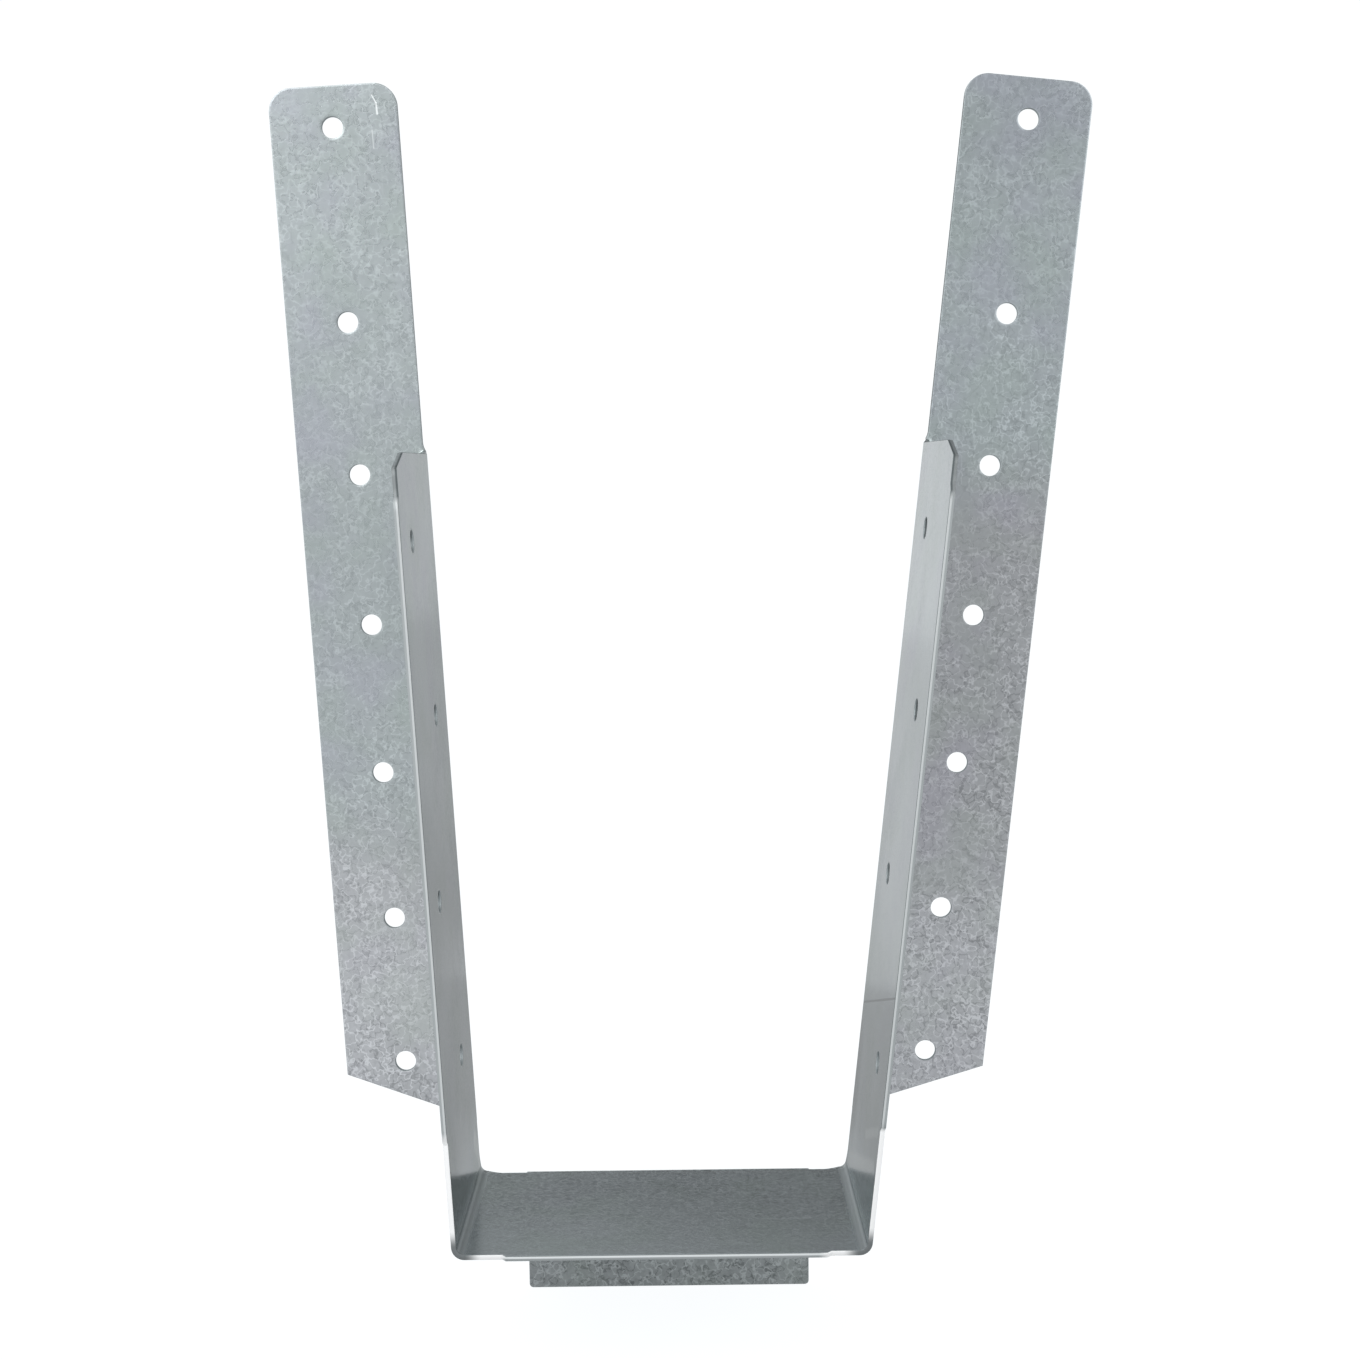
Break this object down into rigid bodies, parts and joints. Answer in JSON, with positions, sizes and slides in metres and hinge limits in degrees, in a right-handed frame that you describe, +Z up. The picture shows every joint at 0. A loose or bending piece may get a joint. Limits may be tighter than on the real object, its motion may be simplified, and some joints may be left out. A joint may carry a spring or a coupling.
{
  "type": "joist hanger",
  "caption": "Face fixed joist hanger folded from galvanised sheet: side plates rise from a flat seat and turn out into tall nailing straps, with a short tab under the seat.",
  "frame": {"origin": "in the header's face plane (the straps' backs), level with the seat's bearing face, midway between the side plates where they meet the seat", "axes": "+X to the right across the joist, +Y into the header, +Z up along the joist's depth"},
  "size_m": [0.1933, 0.0524, 0.2941],
  "materials": {
    "galvanised_sheet": "hot dip galvanised, fine spangle, satin"
  },
  "bodies": {
    "root": {"hanger": "galvanised_sheet"}
  },
  "joints": []
}
